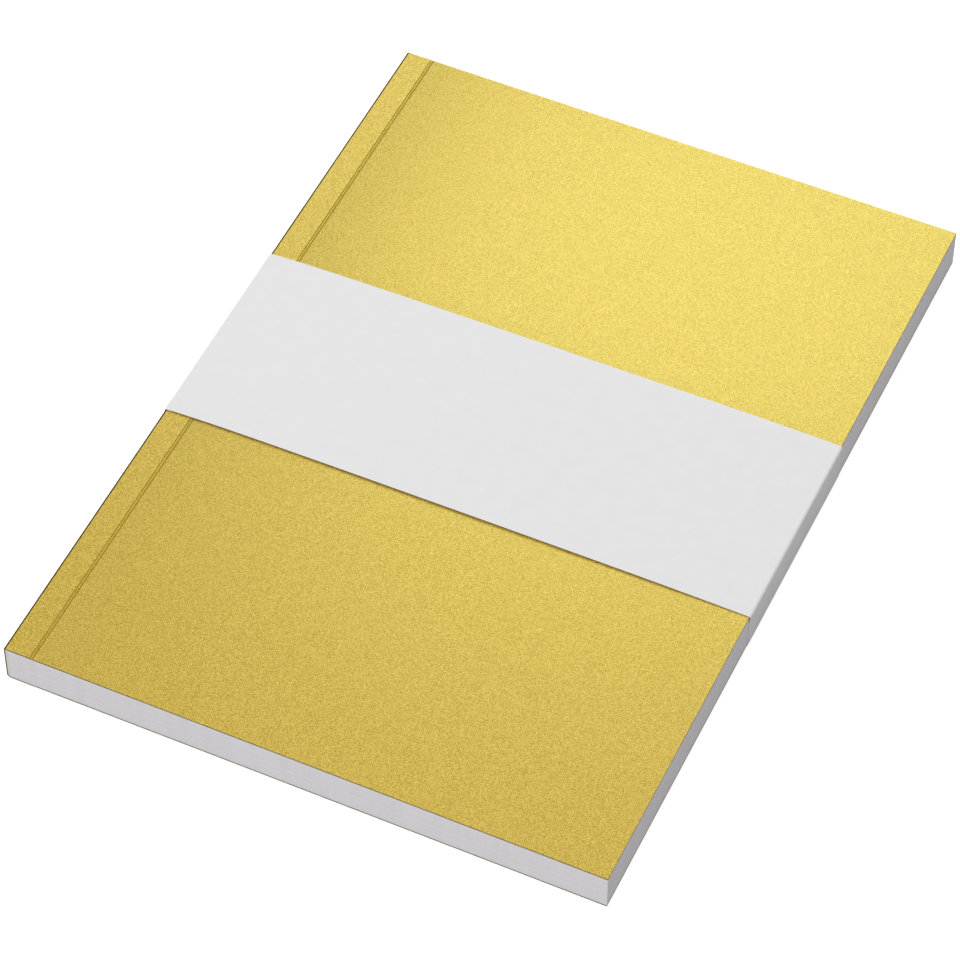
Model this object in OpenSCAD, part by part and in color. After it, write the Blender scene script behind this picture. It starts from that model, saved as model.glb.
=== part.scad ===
// Softcover notebook: a trimmed block of leaves, glued along its spine into a folded card cover
// and held shut by a paper belly band. The notebook lies on its back cover, with its spine at -X,
// its tail at -Y and its front cover up. The band's underside is the plane z = 0.

/* [Format] */
// Width of the closed notebook, from spine to fore edge
book_w = 148; // [90:1:220]
// Height of the notebook, from tail to head
book_h = 210; // [140:1:300]

/* [Pages] */
// Number of leaves in the block
leaf_count = 96; // [24:1:160]
// Thickness of one leaf
leaf_t = 0.1; // [0.07:0.01:0.15]
// Most that the trimming knife leaves one leaf's edge behind another's
trim_wander = 0.03; // [0.01:0.01:0.06]

/* [Cover] */
// Thickness of the cover's card
cover_t = 0.35; // [0.25:0.05:0.5]
// Outer radius of the two folds along the spine
spine_fold_r = 1; // [0.7:0.1:2]
// Distance from the spine to the first scored line of each hinge
hinge_w = 6.4; // [4:0.1:12]
// Distance between the two scored lines of a hinge
score_pitch = 0.65; // [0.5:0.05:1.2]
// Width of a scored line
score_w = 0.36; // [0.2:0.02:0.44]
// Depth of a scored line
score_d = 0.14; // [0.06:0.01:0.18]

/* [Binding] */
// Thickness of the glue between the leaves and the spine
spine_glue_t = 0.5; // [0.3:0.05:1]
// Thickness of the glue film that holds each hinge strip to the outermost leaf
side_glue_t = 0.06; // [0.03:0.01:0.12]

/* [Belly band] */
// Width of the band, along the notebook's height
band_w = 55.5; // [20:0.5:120]
// Thickness of the band's paper
band_t = 0.12; // [0.08:0.01:0.25]
// Distance of the band's centre from the middle of the notebook, towards the head
band_shift = 1.3; // [-5:0.1:5]
// Angle by which the band sits askew
band_skew = 0.35; // [0:0.05:1]
// Height to which the band bows up between its folds
band_rise = 0.6; // [0.1:0.1:2]
// Inner radius of the band's folds at the fore edge
band_fold_r = 0.25; // [0.1:0.05:0.6]
// Running gap between the band and the notebook
band_gap = 0.04; // [0.02:0.01:0.2]
// Length over which the band's two ends lap under the notebook
lap_len = 16; // [8:1:30]
// Thickness of the glue film in the lap
lap_glue_t = 0.05; // [0.03:0.01:0.1]
// Distance from the lap's edges to its glue
lap_glue_margin = 2; // [1:0.5:3]

/* [Hidden] */
$fn = 48;
fold_steps = 6;
bow_steps = 28;
bow_power = 4;
lap_ramp = 3;

// A square corner that is room_z from the level side of a rounded corner has to stay this far
// from the upright side.
function corner_room(r, room_z) = r - sqrt(r * r - pow(max(r - room_z, 0), 2));

inner_fold_r = spine_fold_r - cover_t;
book_t = leaf_count * leaf_t + 2 * cover_t;
block_x = cover_t + max(spine_glue_t, corner_room(inner_fold_r, side_glue_t));
score_r = (score_w * score_w / 4 + score_d * score_d) / (2 * score_d);
corner_gap = band_gap + max(side_glue_t, corner_room(band_fold_r, band_gap));
lap_z = 2 * band_t + lap_glue_t;
book_z = max(lap_z + band_gap, band_t + corner_gap);
band_top = book_z + book_t + corner_gap;
loop_half_w = (book_w / 2 + band_gap + band_w / 2 * sin(band_skew)) / cos(band_skew);

// How far leaf i is trimmed short on one of its three cut edges
function trim(i, edge) = trim_wander * (1 + sin(137.5 * i + 90 * edge)) / 2;

function arc(x, z, r, from, to) = [for (k = [0 : fold_steps])
    let (a = from + (to - from) * k / fold_steps) [x + r * cos(a), z + r * sin(a)]];

// Height of the band's inner face above its folds, s of the way from the spine to the fore edge
function bow(s) = band_rise * (1 - pow(abs(2 * s - 1), bow_power));

// The band's inner face at out 0, and its outer face at out band_t, from one end to the other
function band_face(out) = let (
    left = spine_fold_r - loop_half_w,
    right = loop_half_w - band_fold_r,
    low_left = band_t + spine_fold_r,
    low_right = band_t + band_fold_r)
    concat(
        [[lap_len / 2, lap_z - out], [-lap_len / 2, lap_z - out], [-lap_len / 2 - lap_ramp, band_t - out]],
        arc(left, low_left, spine_fold_r + out, -90, -180),
        arc(left, band_top - spine_fold_r, spine_fold_r + out, 180, 90),
        [for (k = [1 : bow_steps - 1])
            let (s = k / bow_steps) [left + (right - left) * s, band_top + bow(s) + out]],
        arc(right, band_top - band_fold_r, band_fold_r + out, 90, 0),
        arc(right, low_right, band_fold_r + out, 0, -90),
        [[-lap_len / 2, band_t - out]]);

function reversed(list) = [for (k = [len(list) - 1 : -1 : 0]) list[k]];

module along_y(length)
    rotate([90, 0, 0]) linear_extrude(height = length, center = true) children();

// A section from the spine outwards, with the spine's two corners rounded
module spine_section(w, h, r) {
    translate([0, r]) square([w, h - 2 * r]);
    translate([r, 0]) square([w - r, h]);
    for (z = [r, h - r])
        translate([r, z]) circle(r);
}

// The cover's closed outline: its outer face at inset 0, and its inner face at inset cover_t
module cover_outline(inset) {
    translate([inset, inset - side_glue_t])
        spine_section(hinge_w + score_pitch - inset, book_t + 2 * (side_glue_t - inset), spine_fold_r - inset);
    translate([hinge_w, inset]) square([book_w - hinge_w, book_t - 2 * inset]);
}

module hinge_scores()
    for (x = [hinge_w, hinge_w + score_pitch])
        for (z = [score_d - score_r - side_glue_t, book_t + side_glue_t + score_r - score_d])
            translate([x, z]) circle(score_r);

module cover()
    color("goldenrod") translate([-book_w / 2, 0, book_z]) along_y(book_h)
        difference() {
            cover_outline(0);
            cover_outline(cover_t);
            translate([book_w - cover_t, cover_t]) square([2 * cover_t, book_t - 2 * cover_t]);
            hinge_scores();
        }

module leaf(i)
    translate([block_x - book_w / 2, trim(i, 1) - book_h / 2, book_z + cover_t + i * leaf_t])
        cube([book_w - block_x - trim(i, 0), book_h - trim(i, 1) - trim(i, 2), leaf_t]);

module page_block()
    color("white") for (i = [0 : leaf_count - 1]) leaf(i);

module spine_glue()
    color("ivory") translate([-book_w / 2, 0, book_z]) along_y(book_h)
        difference() {
            translate([cover_t, cover_t - side_glue_t])
                spine_section(hinge_w - cover_t, book_t + 2 * (side_glue_t - cover_t), inner_fold_r);
            translate([block_x, cover_t]) square([hinge_w, book_t - 2 * cover_t]);
        }

module on_band()
    translate([0, band_shift, 0]) rotate([0, 0, band_skew]) children();

module belly_band()
    color("whitesmoke") on_band() along_y(band_w)
        polygon(concat(band_face(0), reversed(band_face(band_t))));

module band_glue()
    color("ivory") on_band() translate([0, 0, band_t + lap_glue_t / 2])
        cube([lap_len - 2 * lap_glue_margin, band_w - 2 * lap_glue_margin, lap_glue_t], center = true);

page_block();
spine_glue();
cover();
belly_band();
band_glue();
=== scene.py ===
# %% [markdown]
# # A softcover notebook in a belly band
# The object is an A5 notebook that lies on its back cover: a block of leaves, glued along the spine
# into one folded sheet of gold card, with a strip of white paper folded round its middle. The packed
# model gives every piece its size and place. This lesson dresses it: a card cover with pressed hinges
# and a sparkling grain, separate leaf edges, and a thin paper band that bows over the cover.

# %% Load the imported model
import math

import bpy
from mathutils import Matrix, Vector


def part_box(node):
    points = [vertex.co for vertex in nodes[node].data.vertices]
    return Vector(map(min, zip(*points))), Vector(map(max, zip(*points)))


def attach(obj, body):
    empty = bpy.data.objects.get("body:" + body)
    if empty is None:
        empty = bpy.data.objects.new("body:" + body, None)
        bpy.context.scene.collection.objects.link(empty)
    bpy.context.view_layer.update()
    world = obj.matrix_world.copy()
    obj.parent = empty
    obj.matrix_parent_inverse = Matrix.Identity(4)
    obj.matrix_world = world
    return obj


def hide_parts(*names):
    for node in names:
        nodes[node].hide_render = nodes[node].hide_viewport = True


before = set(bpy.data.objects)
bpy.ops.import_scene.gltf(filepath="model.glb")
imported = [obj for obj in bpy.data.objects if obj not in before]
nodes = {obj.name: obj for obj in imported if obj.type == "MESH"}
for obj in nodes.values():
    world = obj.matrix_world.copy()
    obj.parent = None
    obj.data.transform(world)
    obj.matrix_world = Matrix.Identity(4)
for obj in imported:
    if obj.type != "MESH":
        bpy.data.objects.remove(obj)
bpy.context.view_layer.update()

# %% [markdown]
# Everything here is in metres, and the paper is tenths of a millimetre thick, so the sizes are written
# in millimetres and multiplied once. What the model already knows, such as where the leaves end, is
# read from the boxes of its nodes. Only what a box can't tell is written down: here the thickness of
# the card and where the hinge was pressed, and the rest where it is first needed.

# %% Sizes
MM = 0.001
card_t = 0.35 * MM
hinge_w = 6.45 * MM
score_pitch = 0.63 * MM

cover_low, cover_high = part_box("cover")
block_low, block_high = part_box("page_block")
book_w = cover_high.x - cover_low.x
book_h = cover_high.y - cover_low.y
back_z = block_low.z - card_t
front_z = block_high.z + card_t
book_t = front_z - back_z
print(f"notebook {book_w / MM:.1f} x {book_h / MM:.1f} x {book_t / MM:.2f} mm")

# %% [markdown]
# ## Building materials in code
# A material here is a small graph of nodes. One helper starts each graph with a Principled shader and
# sets its plain numbers on the shader's own sockets. Patterns are laid in Object coordinates: they are
# metres in the notebook's own space, so a grain of a fifth of a millimetre needs a scale of 5000, and
# the pattern stays put from every side.

# %% Helpers for materials
def new_material(name, **sockets):
    material = bpy.data.materials.new(name)
    material.use_nodes = True
    tree = material.node_tree
    shader = tree.nodes["Principled BSDF"]
    for socket, value in sockets.items():
        shader.inputs[socket.replace("_", " ")].default_value = value
    return material, tree, shader


def add_node(tree, kind, inputs=None, **settings):
    node = tree.nodes.new(kind)
    for key, value in settings.items():
        setattr(node, key, value)
    for key, value in (inputs or {}).items():
        if isinstance(value, bpy.types.NodeSocket):
            tree.links.new(value, node.inputs[key])
        else:
            node.inputs[key].default_value = value
    return node


def object_coordinates(tree, stretch=(1, 1, 1)):
    place = add_node(tree, "ShaderNodeTexCoord").outputs["Object"]
    return add_node(tree, "ShaderNodeMapping", {"Vector": place, "Scale": stretch}).outputs["Vector"]


def noise(tree, place, scale, detail):
    inputs = {"Vector": place, "Scale": scale, "Detail": detail}
    return add_node(tree, "ShaderNodeTexNoise", inputs).outputs["Fac"]


def maths(tree, operation, *values):
    inputs = dict(enumerate(values))
    return add_node(tree, "ShaderNodeMath", inputs, operation=operation).outputs["Value"]


def mix_colour(tree, factor, a, b, blend="MIX"):
    mixer = add_node(tree, "ShaderNodeMix", data_type="RGBA", blend_type=blend)
    for index, value in ((0, factor), (6, a), (7, b)):
        if isinstance(value, bpy.types.NodeSocket):
            tree.links.new(value, mixer.inputs[index])
        else:
            mixer.inputs[index].default_value = value
    return mixer.outputs[2]


def map_range(tree, value, low, high, to_low=0.0, to_high=1.0, smooth=False):
    kind = "SMOOTHSTEP" if smooth else "LINEAR"
    inputs = {"Value": value, "From Min": low, "From Max": high, "To Min": to_low, "To Max": to_high}
    return add_node(tree, "ShaderNodeMapRange", inputs, interpolation_type=kind).outputs["Result"]


def add_bump(tree, shader, height, distance, strength):
    inputs = {"Height": height, "Distance": distance, "Strength": strength}
    bump = add_node(tree, "ShaderNodeBump", inputs)
    tree.links.new(bump.outputs["Normal"], shader.inputs["Normal"])


print("material helpers ready in Blender", bpy.app.version_string)

# %% [markdown]
# ## Gold card
# The cover is a card coated with a pearly gold pigment. Seen close, the coat is a fine irregular
# speckle: some flakes face the light and some don't. A painted picture of it would blur close up and
# repeat from afar, so two procedural layers make it, and their sum mixes a dark gold with a light one:
# a soft noise for the mottled coat, and small cells of random tone for the single flakes. The noise
# also gives a slight bump, and a tinted specular keeps the highlight gold.

# %% Flakes of the coat
dark_flake, light_flake = (0.34, 0.195, 0.0, 1), (0.83, 0.59, 0.14, 1)
mottle_scale, flake_scale = 5000, 7600


def flake_colour(tree, place, mottle):
    flakes = add_node(tree, "ShaderNodeTexVoronoi", {"Vector": place, "Scale": flake_scale})
    flake_tone = add_node(tree, "ShaderNodeSeparateColor", {"Color": flakes.outputs["Color"]})
    soft = maths(tree, "MULTIPLY", map_range(tree, mottle, 0.3, 0.7), 0.5)
    bright = map_range(tree, flake_tone.outputs["Red"], 0.35, 0.65, -0.1, 0.6, smooth=True)
    return mix_colour(tree, maths(tree, "ADD", soft, bright), dark_flake, light_flake)


print(f"grain: mottle {1 / (mottle_scale * MM):.2f} mm, flakes {1 / (flake_scale * MM):.2f} mm")

# %% [markdown]
# Near the spine the colour carries painted light and shade. Past the hinge the coat has a painted shade and
# a duller finish, and both clear over a few centimetres. On the strip between the spine and the hinge a
# painted light takes most of that shade off again, so the strip is a little lighter, and its coat is
# smoother. In the two scored lines a dark olive painted shade is mixed in, and the coat is matt there. Each
# of these is a share from 0 to 1 that follows x, so it needs no mask drawn in an image and follows the hinge
# if that moves.

# %% Painted shade by the hinge
hinge_lines = (cover_low.x + hinge_w, cover_low.x + hinge_w + score_pitch)
fade_per_metre = 48
# width of the painted shade in each scored line
score_shade_core, score_shade_edge = 0.06 * MM, 0.2 * MM


def beside_hinge(tree, x):
    """1 on the strip along the spine, fading over a few centimetres past the hinge."""
    past_hinge = maths(tree, "MAXIMUM", maths(tree, "SUBTRACT", x, hinge_lines[1]), 0.0)
    return maths(tree, "EXPONENT", maths(tree, "MULTIPLY", past_hinge, -fade_per_metre))


def on_hinge_strip(tree, x):
    """1 on the strip along the spine, and 0 past the hinge's second line."""
    return map_range(tree, x, hinge_lines[0], hinge_lines[1], 1.0, 0.0)


def in_lines(tree, x):
    """1 in the hinge's two scored lines, which get a painted shade."""
    lines = 0.0
    for line in hinge_lines:
        away = maths(tree, "ABSOLUTE", maths(tree, "SUBTRACT", x, line))
        line_shade = map_range(tree, away, score_shade_core, score_shade_edge, 1.0, 0.0, smooth=True)
        lines = maths(tree, "MAXIMUM", lines, line_shade)
    return lines


print("scored lines at x", [round(x / MM, 2) for x in hinge_lines], "mm")

# %% Gold card
# Painted shade past the hinge, a painted light that lifts the strip again, and a dark olive painted shade in
# the scored lines
hinge_shade_tone, strip_light_tone = 0.905, 1.09
coat_roughness, pressed_roughness, strip_polish, score_roughness = 0.24, 0.37, 0.05, 0.5
score_shade_colour, score_shade_share = (0.32, 0.215, 0.0, 1), 0.8


def make_gold_card():
    material, tree, shader = new_material(
        "gold_card", Metallic=0.0, IOR=2.0, Specular_Tint=(1.0, 0.96, 0.21, 1))
    place = object_coordinates(tree)
    mottle = noise(tree, place, mottle_scale, 0.0)
    body = flake_colour(tree, place, mottle)
    x = add_node(tree, "ShaderNodeSeparateXYZ", {"Vector": place}).outputs["X"]
    hinge_shade_and_rough, on_strip, lines = beside_hinge(tree, x), on_hinge_strip(tree, x), in_lines(tree, x)
    # painted shade past the hinge, lifted on the strip by a painted light
    tone = maths(tree, "MULTIPLY", map_range(tree, hinge_shade_and_rough, 0, 1, 1.0, hinge_shade_tone),
                 map_range(tree, on_strip, 0, 1, 1.0, strip_light_tone))
    colour = mix_colour(tree, 1.0, body, tone, "MULTIPLY")
    # a dark olive painted shade in the scored lines
    colour = mix_colour(tree, maths(tree, "MULTIPLY", lines, score_shade_share), colour, score_shade_colour)
    tree.links.new(colour, shader.inputs["Base Color"])
    roughness = map_range(tree, hinge_shade_and_rough, 0, 1, coat_roughness, pressed_roughness)
    roughness = maths(tree, "SUBTRACT", roughness, maths(tree, "MULTIPLY", on_strip, strip_polish))
    roughness = maths(tree, "ADD", roughness, maths(tree, "MULTIPLY", lines, score_roughness))
    tree.links.new(roughness, shader.inputs["Roughness"])
    add_bump(tree, shader, mottle, 0.054 * MM, 0.5)
    return material


gold_card = make_gold_card()
print("gold card:", len(gold_card.node_tree.nodes), "nodes")

# %% [markdown]
# ## Cut edges, leaves, band and glue
# The card's cut edges are a dark olive, with the layers drawn out along the cut. Along the front fold the
# coat gets a near-black painted shade. The leaves are uncoated white paper: each leaf gets a slightly
# different tone from an attribute that its geometry carries, and the knife leaves faint upright marks. The
# band is smooth matt white paper with a barely visible cloudiness, and the glue is a dull cream. One noise
# each is enough, stretched where the real marks have a direction.

# %% Cut edge and painted fold shade
def make_card_edge():
    material, tree, shader = new_material("card_edge", Roughness=0.9, Specular_IOR_Level=0.2)
    fibres = noise(tree, object_coordinates(tree, (1, 1, 12)), 900, 3.0)
    layers = map_range(tree, fibres, 0.3, 0.7)
    colour = mix_colour(tree, layers, (0.075, 0.057, 0.017, 1), (0.145, 0.115, 0.04, 1))
    tree.links.new(colour, shader.inputs["Base Color"])
    add_bump(tree, shader, fibres, 0.02 * MM, 0.6)
    return material


# A near-black painted shade laid on the front fold, speckled by a noise
def make_fold_shade():
    material, tree, shader = new_material("painted_fold_shade", Roughness=1.0, Specular_IOR_Level=0.0)
    fold_speckle = noise(tree, object_coordinates(tree, (1, 0.4, 1)), 2500, 2.0)
    colour = mix_colour(tree, fold_speckle, (0.022, 0.014, 0.002, 1), (0.06, 0.04, 0.006, 1))
    tree.links.new(colour, shader.inputs["Base Color"])
    return material


card_edge = make_card_edge()
painted_fold_shade = make_fold_shade()
print("materials:", card_edge.name, painted_fold_shade.name)


# %% Papers and glue
def make_leaf_paper():
    material, tree, shader = new_material("leaf_paper", Roughness=0.95, Specular_IOR_Level=0.2)
    tone = add_node(tree, "ShaderNodeAttribute", attribute_name="leaf_tone").outputs["Fac"]
    leaf = mix_colour(tree, tone, (0.81, 0.785, 0.815, 1), (0.885, 0.865, 0.885, 1))
    knife = noise(tree, object_coordinates(tree, (1, 1, 0.02)), 700, 2.0)
    marks = map_range(tree, knife, 0.3, 0.7, 0.98, 1.015)
    tree.links.new(mix_colour(tree, 1.0, leaf, marks, "MULTIPLY"), shader.inputs["Base Color"])
    return material


def make_band_paper():
    material, tree, shader = new_material("matt_paper", Roughness=0.85, Specular_IOR_Level=0.3)
    place = object_coordinates(tree)
    cloud = map_range(tree, noise(tree, place, 260, 4.0), 0.3, 0.7)
    colour = mix_colour(tree, cloud, (0.815, 0.815, 0.815, 1), (0.835, 0.835, 0.835, 1))
    tree.links.new(colour, shader.inputs["Base Color"])
    add_bump(tree, shader, noise(tree, place, 4200, 2.0), 0.006 * MM, 0.4)
    return material


def make_glue():
    material, tree, shader = new_material("dried_glue", Roughness=0.45)
    cloud = noise(tree, object_coordinates(tree), 900, 2.0)
    colour = mix_colour(tree, cloud, (0.66, 0.63, 0.55, 1), (0.76, 0.74, 0.68, 1))
    tree.links.new(colour, shader.inputs["Base Color"])
    return material


leaf_paper = make_leaf_paper()
band_paper = make_band_paper()
binding_glue = make_glue()
print("materials:", leaf_paper.name, band_paper.name, binding_glue.name)

# %% [markdown]
# ## A folded sheet
# The cover and the band are both sheets that run along the notebook's height with one section all the way. A
# section is two lists of points of equal length: one for the outer face and one for the inner. The helper
# repeats the section in rows, joins the rows into two faces, and closes the two ends and the two cut sides,
# so the sheet is a watertight solid with a true thickness. Where a row lies may depend on x, which lets the
# band sit askew while its folds stay along the notebook's edges. The materials are given in the order of the
# slots: the faces, the cuts, and the steps of the section that carry the painted shade of the front fold.

# %% Helper for folded sheets
# slot 2 holds the painted shade of the front fold
face_slot, cut_slot, fold_shade_slot = 0, 1, 2


def folded_sheet(name, outer, inner, row_y, rows, materials, shaded_steps=()):
    section = outer + inner[::-1]
    count, ring = len(outer), 2 * len(outer)
    cut_sides = (count - 1, ring - 1)
    points, faces, slots = [], [], []
    for row in range(rows + 1):
        points += [(x, row_y(x, row / rows), z) for x, z in section]
    for row in range(rows):
        for k in range(ring):
            a, b = row * ring + k, row * ring + (k + 1) % ring
            faces.append((a, a + ring, b + ring, b))
            slots.append(cut_slot if k in cut_sides else fold_shade_slot if k in shaded_steps else face_slot)
    last = rows * ring
    for k in range(count - 1):
        across = (k, k + 1, ring - 2 - k, ring - 1 - k)
        faces += [across, tuple(last + i for i in across[::-1])]
        slots += [cut_slot, cut_slot]
    mesh = bpy.data.meshes.new(name)
    mesh.from_pydata(points, [], faces)
    for material in materials:
        mesh.materials.append(material)
    mesh.polygons.foreach_set("material_index", slots)
    piece = bpy.data.objects.new(name, mesh)
    bpy.context.scene.collection.objects.link(piece)
    return piece


def arc(x, z, r, from_angle, to_angle, steps):
    angles = [math.radians(from_angle + (to_angle - from_angle) * k / steps) for k in range(steps + 1)]
    return [(x + r * math.cos(a), z + r * math.sin(a)) for a in angles]


print("points in an arc of 12 steps:", len(arc(0, 0, 1, 0, 90, 12)))

# %% [markdown]
# A real cut is never a perfect edge, so the corners of a sheet get a small bevel. A modifier's result
# is taken as a plain mesh at once, because a finished piece has to be a mesh alone. The faces are
# shaded smooth round the folds and stay sharp at the cuts.

# %% Helpers to finish a sheet
cut_corner, crease = math.radians(60), math.radians(18)


def make_plain_mesh(piece):
    bpy.context.view_layer.update()
    evaluated = piece.evaluated_get(bpy.context.evaluated_depsgraph_get())
    mesh = bpy.data.meshes.new_from_object(evaluated)
    piece.modifiers.clear()
    piece.data = mesh
    return mesh


def soften_cut(piece, width):
    bevel = piece.modifiers.new("soft_cut", "BEVEL")
    bevel.width = width
    bevel.segments = 2
    bevel.limit_method = "ANGLE"
    bevel.angle_limit = cut_corner
    mesh = make_plain_mesh(piece)
    mesh.shade_smooth()
    mesh.set_sharp_from_angle(angle=crease)


print(f"bevel from {math.degrees(cut_corner):.0f} degrees, sharp from {math.degrees(crease):.0f}")

# %% [markdown]
# ## The cover
# The cover's section starts at the front fore edge, runs to the spine, round its two folds and out to the
# back fore edge. Two things make it look like pressed card: the hinge strip beside the spine is lifted by
# the glue under it, and the hinge itself is two scored lines with rounded shoulders. Both are one height,
# given as a function of the distance from the spine. The points lie close together at the hinge and far
# apart on the flat. The back is the front, mirrored, but its fold is rounder: the front one was pressed hard
# over the block's corner, and its steps get a near-black painted shade. The spine itself swells a quarter of
# a millimetre over the glue.

# %% Cover hinge
side_glue_t = 0.06 * MM
score_w, score_d = 0.3 * MM, 0.14 * MM
score_reach, lift_ramp = 0.62 * score_w, 0.5 * score_w


def hinge_lift(x):
    """Height of the strip beside the spine over the rest of the cover."""
    step = (hinge_w + score_pitch - x) / lift_ramp
    share = min(max(step + 0.5, 0), 1)
    return side_glue_t * share * share * (3 - 2 * share)


def score_depth(x):
    """Depth of the two scored lines, each a rounded valley."""
    deep = 0.0
    for line in (hinge_w, hinge_w + score_pitch):
        away = abs(x - line) / score_reach
        if away < 1:
            deep += score_d * 0.5 * (1 + math.cos(math.pi * away))
    return deep


print(f"in the first line: lifted {hinge_lift(hinge_w) / MM:.2f} mm, cut {score_depth(hinge_w) / MM:.2f} mm")

# %% Cover section
front_fold_r, back_fold_r, least_fold_r = 0.4 * MM, 1.0 * MM, 0.03 * MM
fold_steps = 12
spine_swell = 0.25 * MM
# how far the front fold's painted shade reaches past the top of the fold
fold_shade_w = 0.09 * MM
near_pitch = 0.025 * MM


def cover_stations(fold_r):
    """Distances from the spine, from the fore edge inwards."""
    flat = [book_w * k / 30 for k in range(3, 31)]
    near = [hinge_w + (k - 20) * near_pitch for k in range(70)]
    strip = [fold_r + (hinge_w - fold_r) * k / 5 for k in range(1, 4)]
    shade_start = [fold_r - spine_swell + fold_shade_w]
    return sorted(set(flat + near + strip + shade_start), reverse=True)


def half_cover(face, fold_r):
    """Points of one face of a half, from the fore edge to the spine, over the book's middle plane."""
    inset = 0 if face == "outer" else card_t
    top = book_t / 2 - inset
    points = []
    for x in cover_stations(fold_r):
        cut = score_depth(x) if face == "outer" else 0
        points.append((cover_low.x + x, top + hinge_lift(x) - cut))
    r = max(fold_r - inset, least_fold_r)
    centre_x = cover_low.x - spine_swell + inset + r
    return points + arc(centre_x, top + side_glue_t - r, r, 90, 180, fold_steps)


def whole_cover(face):
    middle_z = (front_z + back_z) / 2
    front = [(x, middle_z + z) for x, z in half_cover(face, front_fold_r)]
    back = [(x, middle_z - z) for x, z in half_cover(face, back_fold_r)]
    return front + back[::-1]


print("cover section:", len(whole_cover("outer")), "points on each face")


# %% Cover piece
def straight_row(x, share):
    return cover_low.y + book_h * share


# the front fold's steps carry the near-black painted shade
first_of_fold = len(cover_stations(front_fold_r))
shaded_fold = range(first_of_fold - 1, first_of_fold + fold_steps)
cover = folded_sheet("wrap_cover", whole_cover("outer"), whole_cover("inner"), straight_row, rows=14,
                     materials=(gold_card, card_edge, painted_fold_shade), shaded_steps=shaded_fold)
soften_cut(cover, width=0.03 * MM)
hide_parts("cover")
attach(cover, "notebook")
print("cover:", len(cover.data.polygons), "faces")

# %% [markdown]
# ## The leaves
# A block of ninety-six leaves is the right job for Geometry Nodes: one thin plate, repeated up a line
# of points. A guillotine trims them all at once, but paper gives, so each leaf ends a few hundredths
# of a millimetre away from its neighbours at the head, tail and fore edge, while the glued spine edges
# stay in line. Each plate hinges on its spine edge, so scaling it moves only the three cut edges. A
# random number stored on each leaf gives the material its tone. Realize Instances turns the plates
# into one mesh, which the export needs.

# %% Leaf stack tree
leaf_t, leaf_fill = 0.1 * MM, 0.95
leaf_trim = 0.03 * MM
width_seed, height_seed, tone_seed = 3, 5, 7


def leaf_stack_tree():
    tree = bpy.data.node_groups.new("leaf_stack", "GeometryNodeTree")
    sockets = {}
    for name, kind in (("Leaves", "NodeSocketInt"), ("Pitch", "NodeSocketFloat"),
                       ("Width", "NodeSocketFloat"), ("Height", "NodeSocketFloat"),
                       ("Trim", "NodeSocketFloat"), ("Paper", "NodeSocketMaterial")):
        sockets[name] = tree.interface.new_socket(name, in_out="INPUT", socket_type=kind).identifier
    tree.interface.new_socket("Geometry", in_out="OUTPUT", socket_type="NodeSocketGeometry")
    given = add_node(tree, "NodeGroupInput").outputs

    def random_share(seed):
        node = add_node(tree, "FunctionNodeRandomValue", {"Seed": seed}, data_type="FLOAT")
        return node.outputs[1]

    def vector(x, y, z):
        return add_node(tree, "ShaderNodeCombineXYZ", {"X": x, "Y": y, "Z": z}).outputs["Vector"]

    def trimmed(length, seed):
        """A leaf's scale along one side, which leaves its cut up to Trim short."""
        most = maths(tree, "DIVIDE", given["Trim"], given[length])
        return maths(tree, "SUBTRACT", 1.0, maths(tree, "MULTIPLY", random_share(seed), most))

    thickness = maths(tree, "MULTIPLY", given["Pitch"], leaf_fill)
    size = vector(given["Width"], given["Height"], thickness)
    plate = add_node(tree, "GeometryNodeMeshCube", {"Size": size})
    half_width = maths(tree, "MULTIPLY", given["Width"], 0.5)
    hinged = add_node(tree, "GeometryNodeTransform",
                      {"Geometry": plate.outputs["Mesh"], "Translation": vector(half_width, 0.0, 0.0)})
    line = add_node(tree, "GeometryNodeMeshLine",
                    {"Count": given["Leaves"], "Offset": vector(0.0, 0.0, given["Pitch"])}, mode="OFFSET")
    scale = vector(trimmed("Width", width_seed), trimmed("Height", height_seed), 1.0)
    stack = add_node(tree, "GeometryNodeInstanceOnPoints",
                     {"Points": line.outputs["Mesh"], "Instance": hinged.outputs["Geometry"],
                      "Scale": scale})
    toned = add_node(tree, "GeometryNodeStoreNamedAttribute",
                     {"Geometry": stack.outputs["Instances"], "Name": "leaf_tone",
                      "Value": random_share(tone_seed)},
                     data_type="FLOAT", domain="INSTANCE")
    solid = add_node(tree, "GeometryNodeRealizeInstances", {"Geometry": toned.outputs["Geometry"]})
    painted = add_node(tree, "GeometryNodeSetMaterial",
                       {"Geometry": solid.outputs["Geometry"], "Material": given["Paper"]})
    add_node(tree, "NodeGroupOutput", {"Geometry": painted.outputs["Geometry"]})
    return tree, sockets


leaf_tree, leaf_sockets = leaf_stack_tree()
print("leaf stack tree:", len(leaf_tree.nodes), "nodes, inputs", list(leaf_sockets))


# %% Leaf stack piece
def make_leaf_stack():
    stack = bpy.data.objects.new("leaf_stack", bpy.data.meshes.new("leaf_stack"))
    bpy.context.scene.collection.objects.link(stack)
    modifier = stack.modifiers.new("leaves", "NODES")
    modifier.node_group = leaf_tree
    values = {"Leaves": round((block_high.z - block_low.z) / leaf_t), "Pitch": leaf_t,
              "Width": block_high.x - block_low.x, "Height": block_high.y - block_low.y,
              "Trim": leaf_trim, "Paper": leaf_paper}
    for name, value in values.items():
        modifier[leaf_sockets[name]] = value
    mesh = make_plain_mesh(stack)
    middle_y = (block_low.y + block_high.y) / 2
    mesh.transform(Matrix.Translation((block_low.x, middle_y, block_low.z + leaf_t / 2)))
    mesh.shade_flat()
    return stack


leaves = make_leaf_stack()
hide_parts("page_block")
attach(leaves, "notebook")
print("leaves:", len(leaves.data.polygons), "faces, attributes", [a.name for a in leaves.data.attributes])

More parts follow.
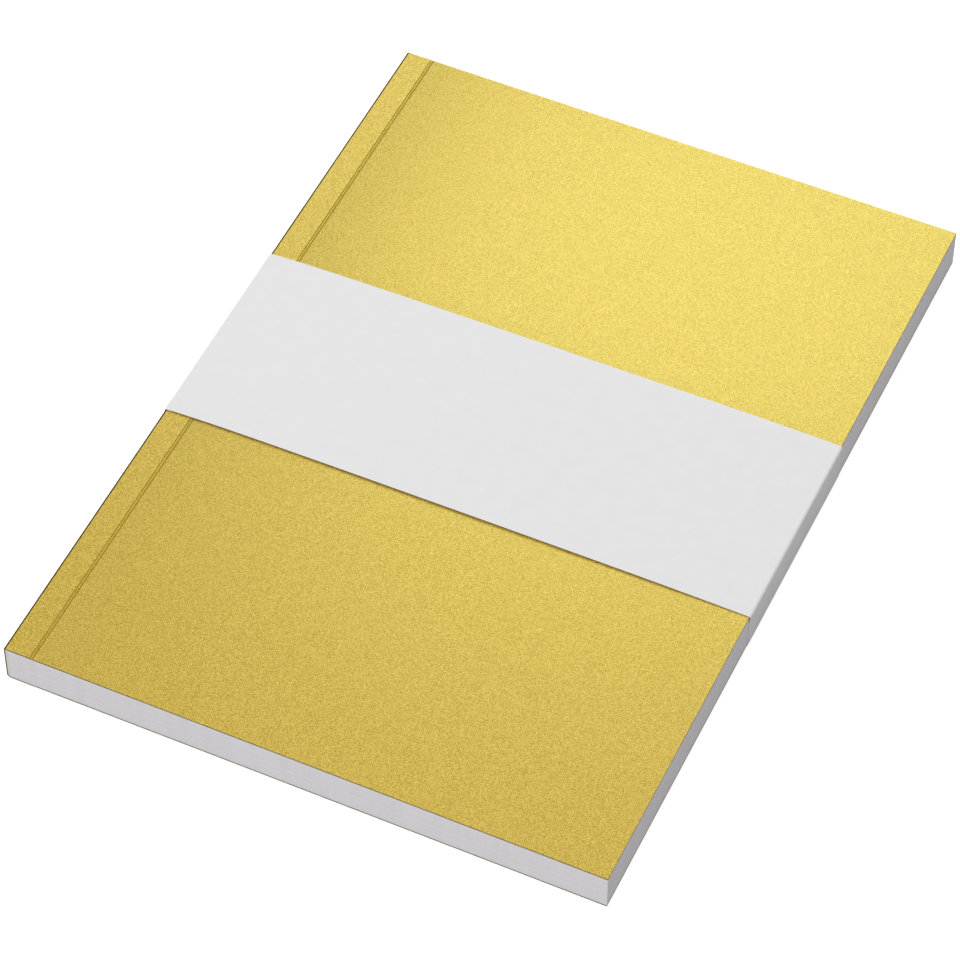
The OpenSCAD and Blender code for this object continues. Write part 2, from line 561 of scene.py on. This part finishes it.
# %% [markdown]
# ## The belly band
# The band is a strip of paper whose two ends lap underneath, where the notebook rests on them. It was
# wrapped tight, so its folds lie along the notebook's own edges: a sharp one over the spine's fold, and
# a softer one at the top of the fore edge. Stiff paper doesn't lie flat between two folds, so the top
# bows: it rises at once beside the spine's fold, stays nearly level, and comes down slowly towards the
# fore edge. The side along the fore edge stands out only at its top fold, and lies flat against the
# leaves below. Each of these curves is read off as a few heights, and a smooth line is drawn through
# them that never swings past a height.

# %% Smooth line through stations
def slopes_between(stations):
    """A slope at each station: the harmonic mean of its two neighbours', so the line doesn't overshoot."""
    steps = [(q[1] - p[1]) / (q[0] - p[0]) for p, q in zip(stations, stations[1:])]
    inner = [2 * a * b / (a + b) if a * b > 0 else 0.0 for a, b in zip(steps, steps[1:])]
    return [steps[0]] + inner + [steps[-1]]


def smooth_line(stations):
    slopes = slopes_between(stations)

    def height(x):
        last = len(stations) - 2
        k = max([i for i in range(last + 1) if stations[i][0] <= x], default=0)
        (x0, y0), (x1, y1) = stations[k], stations[k + 1]
        s, span = (x - x0) / (x1 - x0), x1 - x0
        return ((1 + 2 * s) * (1 - s) ** 2 * y0 + s * (1 - s) ** 2 * span * slopes[k]
                + s * s * (3 - 2 * s) * y1 + s * s * (s - 1) * span * slopes[k + 1])
    return height


print("smooth line from 0 up to 1, halfway:", smooth_line([(0, 0), (1, 1), (2, 1)])(0.5))

# %% Curves of the band
# Distance from the spine against height over the cover
lift_stations = [(x * MM, z * MM) for x, z in (
    (0.3, 0.24), (2.2, 0.37), (5, 0.41), (13, 0.41), (30, 0.42), (50, 0.46), (75, 0.47),
    (100, 0.45), (120, 0.41), (135, 0.32), (147.9, 0.15))]
# Distance from the spine against shift towards the head
bend_stations = [(x * MM, y * MM) for x, y in (
    (-1, -0.40), (0.6, -0.35), (2.2, -0.29), (5, -0.20), (13, 0.02), (30, 0.20), (50, 0.235),
    (75, 0.235), (100, 0.21), (120, 0.16), (135, 0.09), (149, 0.0))]
# Height over the underside against the gap to the fore edge
side_stations = [(z * MM, gap * MM) for z, gap in (
    (0, 0.03), (6.5, 0.035), (8.3, 0.06), (9.3, 0.14), (9.8, 0.24), (10.2, 0.28))]
lift_over_cover = smooth_line(lift_stations)
bend_in_plan = smooth_line(bend_stations)
fore_side_gap = smooth_line(side_stations)
print(f"bow in the middle: {lift_over_cover(book_w / 2) / MM:.2f} mm over the cover")

# %% [markdown]
# The section follows those curves once round the notebook, from one end of the lap to the other. The
# same function gives both faces: for the outer one every point is moved out by the paper's thickness.
# The lap lies under the notebook, with a glue film between its two ends, and the upper end comes down
# to the floor over a short ramp.

# %% Band section
band_t = 0.12 * MM
lap_len, lap_ramp = 16 * MM, 3 * MM
lap_glue_t = 0.05 * MM
spine_gap = 0.03 * MM
fore_top_r, fore_top_gap = 0.6 * MM, 0.28 * MM
fore_low_r, fore_low_gap = 0.12 * MM, 0.03 * MM
tight_fold_steps, bow_steps, side_steps = 8, 90, 25
band_low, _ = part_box("belly_band")


def band_face(out):
    """Points of the band's inner face at out 0 and of its outer face at out band_t, end to end."""
    spine_x, fore_x = cover_low.x - spine_swell, cover_high.x
    lap_floor = band_low.z + band_t
    lap_top = lap_floor + band_t + lap_glue_t
    points = [(lap_len / 2, lap_top - out), (-lap_len / 2, lap_top - out),
              (-lap_len / 2 - lap_ramp, lap_floor - out)]
    r = back_fold_r + spine_gap
    low_z = back_z - side_glue_t - spine_gap + r
    points += arc(spine_x - spine_gap + r, low_z, r + out, -90, -180, fold_steps)
    r = front_fold_r + spine_gap
    left = spine_x - spine_gap + r
    points += arc(left, front_z + lift_stations[0][1] - r, r + out, 180, 90, tight_fold_steps)
    right = fore_x + fore_top_gap - fore_top_r
    for k in range(1, bow_steps):
        x = left + (right - left) * k / bow_steps
        points.append((x, front_z + lift_over_cover(x - cover_low.x) + out))
    fold_z = front_z + lift_stations[-1][1] - fore_top_r
    points += arc(right, fold_z, fore_top_r + out, 90, 0, fold_steps)
    for k in range(1, side_steps - 1):
        z = fold_z * (1 - k / side_steps)
        points.append((fore_x + fore_side_gap(z) + out, z))
    low_x, low_z = fore_x + fore_low_gap - fore_low_r, back_z - fore_low_gap + fore_low_r
    points += arc(low_x, low_z, fore_low_r + out, 0, -90, tight_fold_steps)
    points += [(lap_len / 2 + lap_ramp, lap_floor - out), (-lap_len / 2, lap_floor - out)]
    return points


print("band section:", len(band_face(0)), "points on each face")

# %% [markdown]
# The cut ends of the strip are not quite parallel either: the one towards the tail is a fifth of a
# degree askew and the one towards the head half a degree. Both also bend a few tenths of a millimetre:
# towards the tail beside the spine, and towards the head where the band bows. A row of the band's mesh
# is placed between those two lines, whatever its x.

# %% Band piece
band_centre_y = 1.3 * MM
band_half_w, band_widening = 27.67 * MM, 0.00285
band_skew = 0.00611


def band_row(x, share):
    side = 2 * share - 1
    middle = band_centre_y + band_skew * x + bend_in_plan(x - cover_low.x)
    return middle + side * (band_half_w + band_widening * x)


band = folded_sheet("paper_band", band_face(band_t), band_face(0), band_row, rows=10,
                    materials=(band_paper, band_paper))
soften_cut(band, width=0.015 * MM)
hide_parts("belly_band")
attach(band, "band")
band_widths = [2 * (band_half_w + band_widening * x) / MM for x in (cover_low.x, cover_high.x)]
print("band:", len(band.data.polygons), "faces,",
      f"{band_widths[0]:.1f} mm wide at the spine and {band_widths[1]:.1f} mm at the fore edge")

# %% [markdown]
# ## The glue
# Hot glue is spread on the leaves' spine edges and the card is pressed into it while it is soft, so it
# takes the shape of what lies on either side of it: the folded card outside, the square block inside.
# The code does the same. The card's inner face is the glue's outer face, and each of its points is
# moved to the nearest point of the block for the inner one. Points that land together are welded into
# one. The film in the band's lap can't be seen, so its solid stays and only gets its finish.

# %% Glue
weld_reach = 0.001 * MM


def nearest_on_block(x, z):
    return max(x, block_low.x), min(max(z, block_low.z), block_high.z)


glue_outer = [(x, z) for x, z in whole_cover("inner") if x < cover_low.x + hinge_w]
glue_inner = [nearest_on_block(x, z) for x, z in glue_outer]
glue = folded_sheet("spine_adhesive", glue_outer, glue_inner, straight_row, rows=2,
                    materials=(binding_glue, binding_glue))
glue.modifiers.new("join_ends", "WELD").merge_threshold = weld_reach
make_plain_mesh(glue)
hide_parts("spine_glue")
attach(glue, "notebook")
band_film = nodes["band_glue"]
band_film.data.materials.clear()
band_film.data.materials.append(binding_glue)
print("spine glue:", len(glue.data.polygons), "faces")

# %% [markdown]
# ## Camera
# The camera stands where the photograph was taken: a long lens about a metre away, looking down at
# fifty degrees from beyond the tail, a little to the fore edge's side. It is placed by its aim, its
# distance and its two angles, and then rolled by 0.15 of a degree.

# %% Camera
aim = Vector((1.86 * MM, -15.17 * MM, front_z))
azimuth, elevation, roll = math.radians(24.829), math.radians(50.111), math.radians(0.153)
distance = 986.75 * MM
away = Vector((math.sin(azimuth) * math.cos(elevation), -math.cos(azimuth) * math.cos(elevation),
               math.sin(elevation)))
camera_data = bpy.data.cameras.new("camera")
camera_data.lens = 159.65
camera_data.sensor_width = 36
camera_data.clip_start = 0.05
camera = bpy.data.objects.new("camera", camera_data)
bpy.context.scene.collection.objects.link(camera)
look = away.to_track_quat("Z", "Y").to_matrix().to_4x4()
camera.matrix_world = Matrix.Translation(aim + away * distance) @ look @ Matrix.Rotation(roll, 4, "Z")
bpy.context.scene.camera = camera
print("camera at", [round(c, 4) for c in camera.matrix_world.translation])

# %% [markdown]
# ## Light
# Four things light the notebook. The world gives an even soft light from all round. A large panel
# overhead gives most of the light, and with it the soft shadow. A low panel beyond the tail lights the
# tail's cut edges and leaves the fore edge darker. A small one stands beyond the head, where the card
# mirrors it towards the camera, so the gold brightens towards the head. They are panels and not
# points, because a pearly coat mirrors a point as a hard spot.

# %% World and lamps
def make_world(level):
    world = bpy.data.worlds.new("studio")
    world.use_nodes = True
    background = world.node_tree.nodes["Background"]
    background.inputs["Color"].default_value = (1, 1, 1, 1)
    background.inputs["Strength"].default_value = level
    bpy.context.scene.world = world


def make_panel(name, place, width, depth, power):
    """A rectangular lamp that faces the origin."""
    data = bpy.data.lights.new(name, "AREA")
    data.shape = "RECTANGLE"
    data.size = width
    data.size_y = depth
    data.energy = power
    panel = bpy.data.objects.new(name, data)
    bpy.context.scene.collection.objects.link(panel)
    panel.visible_camera = False
    turn = (-Vector(place)).to_track_quat("-Z", "Y").to_matrix().to_4x4()
    panel.matrix_world = Matrix.Translation(place) @ turn


make_world(level=0.40)
make_panel("head_panel", place=(-0.176, 0.61, 0.62), width=0.41, depth=0.28, power=1.5)
make_panel("top_panel", place=(-0.15, -0.12, 1.4), width=0.9, depth=0.9, power=8.55)
make_panel("tail_panel", place=(0.03, -0.75, 0.12), width=0.7, depth=0.15, power=1.35)
bpy.context.scene.view_settings.view_transform = "Standard"
print("lamps:", {lamp.name: round(lamp.energy, 2) for lamp in bpy.data.lights})

# %% [markdown]
# ## Floor
# The floor is plain: it looks white to the camera but keeps a soft shadow, because only part of its
# white is its own glow. That glow is for camera, glossy and transmission rays alone, so it puts no
# light on the notebook's matt papers. The floor lies a hair under the band, so that no two faces share
# a plane.

# %% Floor
floor_drop = 0.02 * MM


def make_floor(size, shade, glow):
    half, z = size / 2, -floor_drop
    mesh = bpy.data.meshes.new("floor")
    mesh.from_pydata([(-half, -half, z), (half, -half, z), (half, half, z), (-half, half, z)],
                     [], [(0, 1, 2, 3)])
    material, tree, shader = new_material(
        "floor", Base_Color=(shade, shade, shade, 1), Roughness=1.0, Specular_IOR_Level=0.0)
    path = add_node(tree, "ShaderNodeLightPath").outputs
    seen = path["Is Camera Ray"]
    for other in ("Is Glossy Ray", "Is Transmission Ray"):
        seen = maths(tree, "MAXIMUM", seen, path[other])
    shader.inputs["Emission Color"].default_value = (1, 1, 1, 1)
    tree.links.new(maths(tree, "MULTIPLY", seen, glow), shader.inputs["Emission Strength"])
    mesh.materials.append(material)
    floor = bpy.data.objects.new("floor", mesh)
    bpy.context.scene.collection.objects.link(floor)
    return floor


floor = make_floor(size=4.0, shade=0.5, glow=0.8)
print("floor:", [round(side, 2) for side in floor.dimensions], "m")
